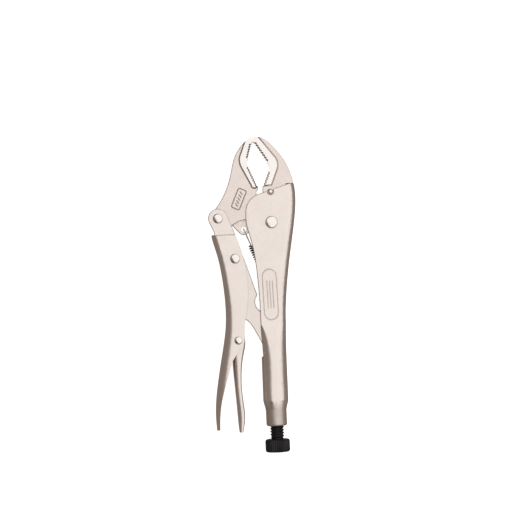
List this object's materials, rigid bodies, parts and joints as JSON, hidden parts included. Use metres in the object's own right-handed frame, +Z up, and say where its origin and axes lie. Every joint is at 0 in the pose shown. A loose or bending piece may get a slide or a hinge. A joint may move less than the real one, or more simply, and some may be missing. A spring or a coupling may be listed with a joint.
{
  "type": "locking pliers",
  "caption": "Locking pliers with curved toothed jaws, an over-centre lever handle, a release lever and a knurled adjusting screw.",
  "frame": {"origin": "centre of the foot of the whole tool as it lies on its side, locked with the jaws closed", "axes": "+Y along the adjusting screw's axis towards the jaw tips, +Z up through the thickness, +X from the lever handle to the fixed handle"},
  "size_m": [0.0708, 0.2504, 0.0195],
  "materials": {
    "nickel_sheet": "satin nickel plate on pressed sheet",
    "jaw_steel": "satin nickel plate with ground pads",
    "link_steel": "nickel plate, as forged",
    "black_oxide": "black oxide",
    "spring_steel": "drawn spring wire",
    "rivet_steel": "polished nickel plate"
  },
  "bodies": {
    "fixed_body": {"fixed_handle": "nickel_sheet", "fixed_jaw": "jaw_steel", "main_rivet": "rivet_steel", "jaw_locating_pin": "rivet_steel", "return_spring": "spring_steel"},
    "moving_jaw": {"lower_jaw": "jaw_steel"},
    "lever": {"lever_handle": "nickel_sheet", "lever_rivet": "rivet_steel", "link_rivet": "rivet_steel", "release_rivet": "rivet_steel"},
    "link": {"toggle_link": "link_steel"},
    "release": {"release_lever": "nickel_sheet"},
    "screw": {"adjusting_screw": "black_oxide"}
  },
  "joints": [
    {"name": "jaw_pivot", "type": "hinge", "parent": "fixed_body", "child": "moving_jaw", "pos_m": [0.01549, 0.05697, 0.00975], "axis": [0, 0, 1], "range_deg": [0, 16], "deforming": ["return_spring"]},
    {"name": "lever_pivot", "type": "hinge", "parent": "moving_jaw", "child": "lever", "pos_m": [-0.02675, 0.06171, 0.00975], "axis": [0, 0, 1], "range_deg": [-60, 0]},
    {"name": "link_pivot", "type": "hinge", "parent": "lever", "child": "link", "pos_m": [-0.01455, 0.02944, 0.00975], "axis": [0, 0, 1], "range_deg": [0, 65.5]},
    {"name": "release_pivot", "type": "hinge", "parent": "lever", "child": "release", "pos_m": [-0.01475, -0.03539, 0.00975], "axis": [0, 0, 1], "range_deg": [-9, 5]},
    {"name": "screw_travel", "type": "slide", "parent": "fixed_body", "child": "screw", "axis": [0, -1, 0], "range_m": [0, 0.03]}
  ],
  "couplings": [
    {"joint": "jaw_pivot", "follows": "lever_pivot", "ratio": -0.2666},
    {"joint": "link_pivot", "follows": "lever_pivot", "ratio": -1.09}
  ]
}
